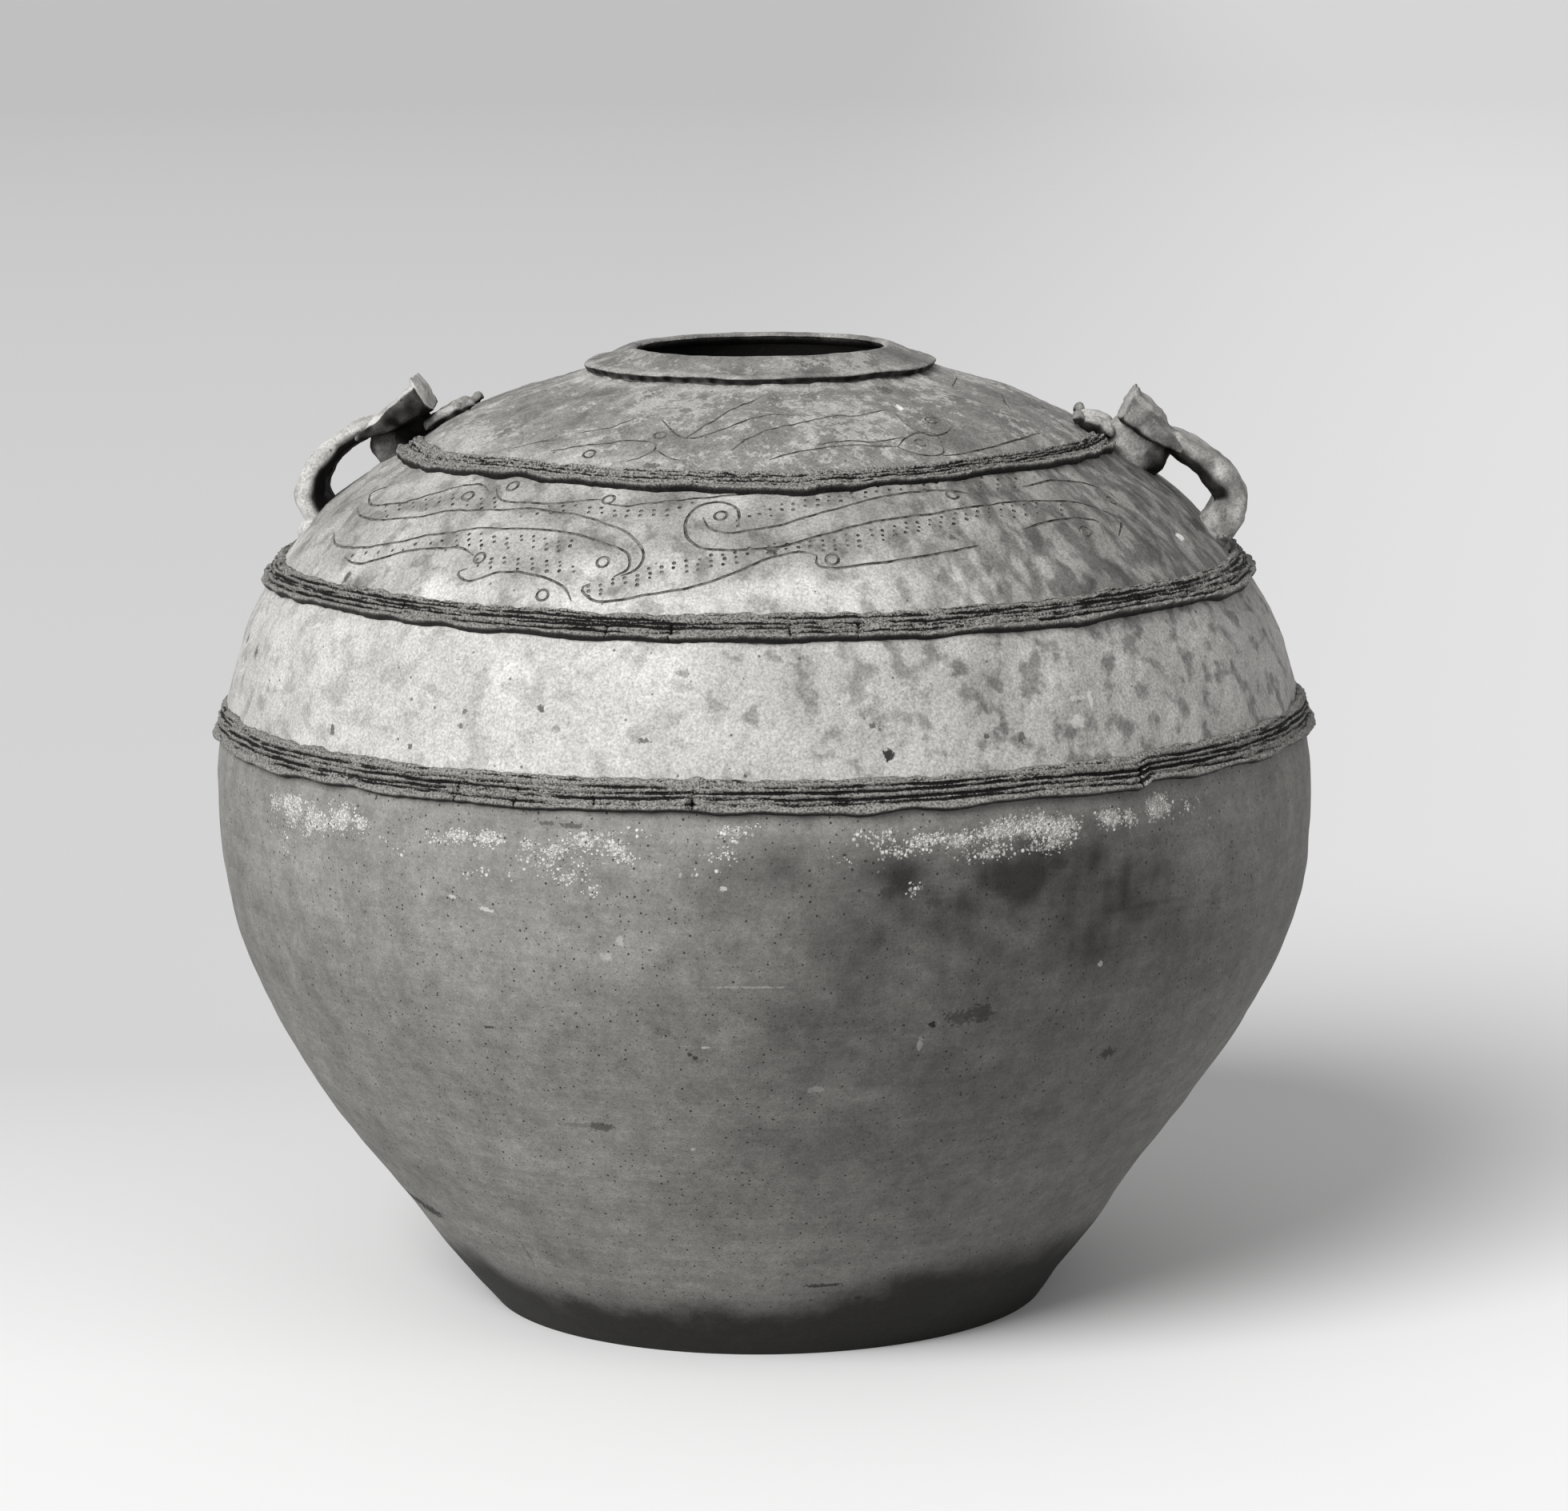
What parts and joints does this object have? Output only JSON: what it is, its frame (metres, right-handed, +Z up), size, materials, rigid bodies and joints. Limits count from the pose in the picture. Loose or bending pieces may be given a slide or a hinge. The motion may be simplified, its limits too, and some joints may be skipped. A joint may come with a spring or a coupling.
{
  "type": "two-handled stoneware storage jar",
  "caption": "Wide-bodied stoneware storage jar with a small mouth and flat collar, ribbed cordons, incised shoulder scrolls and mask-topped strap handles.",
  "frame": {"origin": "on the floor, at the centre of the round base under the body's axis", "axes": "+Z up through the mouth; the two handles lie along -X (left) and +X (right); -Y is the pictured front"},
  "size_m": [0.3606, 0.3606, 0.3146],
  "materials": {
    "ash_glazed_stoneware": "thin mottled ash glaze, semi-matt, worn to the clay in places",
    "bare_stoneware": "unglazed fired clay, matt, with ash specks and a darker foot",
    "ribbed_cordon_clay": "combed clay strip with thin dark glaze pooled in its grooves"
  },
  "bodies": {
    "root": {"belly_ring": "ash_glazed_stoneware", "shoulder_ring": "ash_glazed_stoneware", "crown_dome": "ash_glazed_stoneware", "mouth_collar": "ash_glazed_stoneware", "left_handle_strap": "ash_glazed_stoneware", "left_mask_plate": "ash_glazed_stoneware", "left_horn_front": "ash_glazed_stoneware", "left_horn_back": "ash_glazed_stoneware", "left_root_block": "ash_glazed_stoneware", "left_handle_pad": "ash_glazed_stoneware", "right_handle_strap": "ash_glazed_stoneware", "right_mask_plate": "ash_glazed_stoneware", "right_horn_front": "ash_glazed_stoneware", "right_horn_back": "ash_glazed_stoneware", "right_root_block": "ash_glazed_stoneware", "right_handle_pad": "ash_glazed_stoneware", "base_disc": "bare_stoneware", "lower_wall": "bare_stoneware", "lower_cordon": "ribbed_cordon_clay", "middle_cordon": "ribbed_cordon_clay", "upper_cordon_front": "ribbed_cordon_clay", "upper_cordon_back": "ribbed_cordon_clay"}
  },
  "joints": []
}
